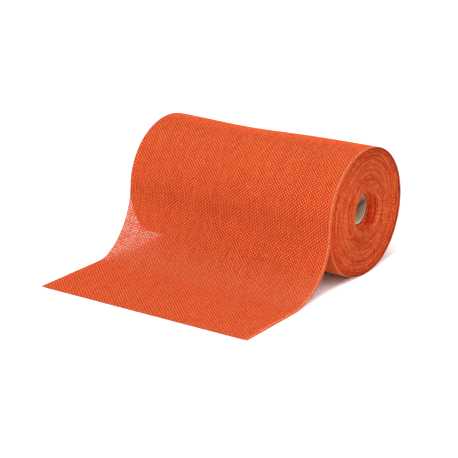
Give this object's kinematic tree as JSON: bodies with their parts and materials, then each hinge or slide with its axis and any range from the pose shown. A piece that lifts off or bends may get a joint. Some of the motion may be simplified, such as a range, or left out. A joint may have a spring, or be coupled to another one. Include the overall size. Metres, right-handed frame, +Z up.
{
  "type": "roll of jute cloth",
  "caption": "Roll of open-weave jute cloth wound on a cardboard core, lying on its side with its free end drawn out flat in front.",
  "frame": {"origin": "centre of the cardboard core's bore, halfway along the roll", "axes": "+X along the roll's axis, +Z up, and the free end lies on the floor toward -Y"},
  "size_m": [0.3, 0.3431, 0.1645],
  "materials": {
    "jute_cloth": "matte",
    "wound_jute": "matte",
    "selvedge_thread": "matte",
    "core_board": "matte"
  },
  "bodies": {
    "wrap": {"outer_wrap": "jute_cloth", "tail_drop": "jute_cloth", "wrap_selvedge_left": "selvedge_thread", "wrap_selvedge_right": "selvedge_thread", "drop_selvedge_left": "selvedge_thread", "drop_selvedge_right": "selvedge_thread"},
    "roll": {"core_inner_ply": "core_board", "core_middle_ply": "core_board", "core_outer_ply": "core_board", "first_turn": "wound_jute", "inner_turns": "wound_jute", "middle_turns": "wound_jute", "outer_turns": "wound_jute"},
    "flap_1": {"tail_flap_1": "jute_cloth", "flap_1_selvedge_left": "selvedge_thread", "flap_1_selvedge_right": "selvedge_thread"},
    "flap_2": {"tail_flap_2": "jute_cloth", "flap_2_selvedge_left": "selvedge_thread", "flap_2_selvedge_right": "selvedge_thread"},
    "flap_3": {"tail_flap_3": "jute_cloth", "flap_3_selvedge_left": "selvedge_thread", "flap_3_selvedge_right": "selvedge_thread"}
  },
  "joints": [
    {"name": "roll_turn", "type": "hinge", "parent": "wrap", "child": "roll", "pos_m": [0, 0, 0], "axis": [1, 0, 0], "continuous": true},
    {"name": "flap_1_bend", "type": "hinge", "parent": "wrap", "child": "flap_1", "pos_m": [0, -0.1681, -0.0812], "axis": [-1, 0, 0], "range_deg": [0, 45]},
    {"name": "flap_2_bend", "type": "hinge", "parent": "flap_1", "child": "flap_2", "pos_m": [0, -0.1991, -0.0812], "axis": [-1, 0, 0], "range_deg": [0, 45]},
    {"name": "flap_3_bend", "type": "hinge", "parent": "flap_2", "child": "flap_3", "pos_m": [0, -0.2301, -0.0812], "axis": [-1, 0, 0], "range_deg": [0, 45]}
  ]
}
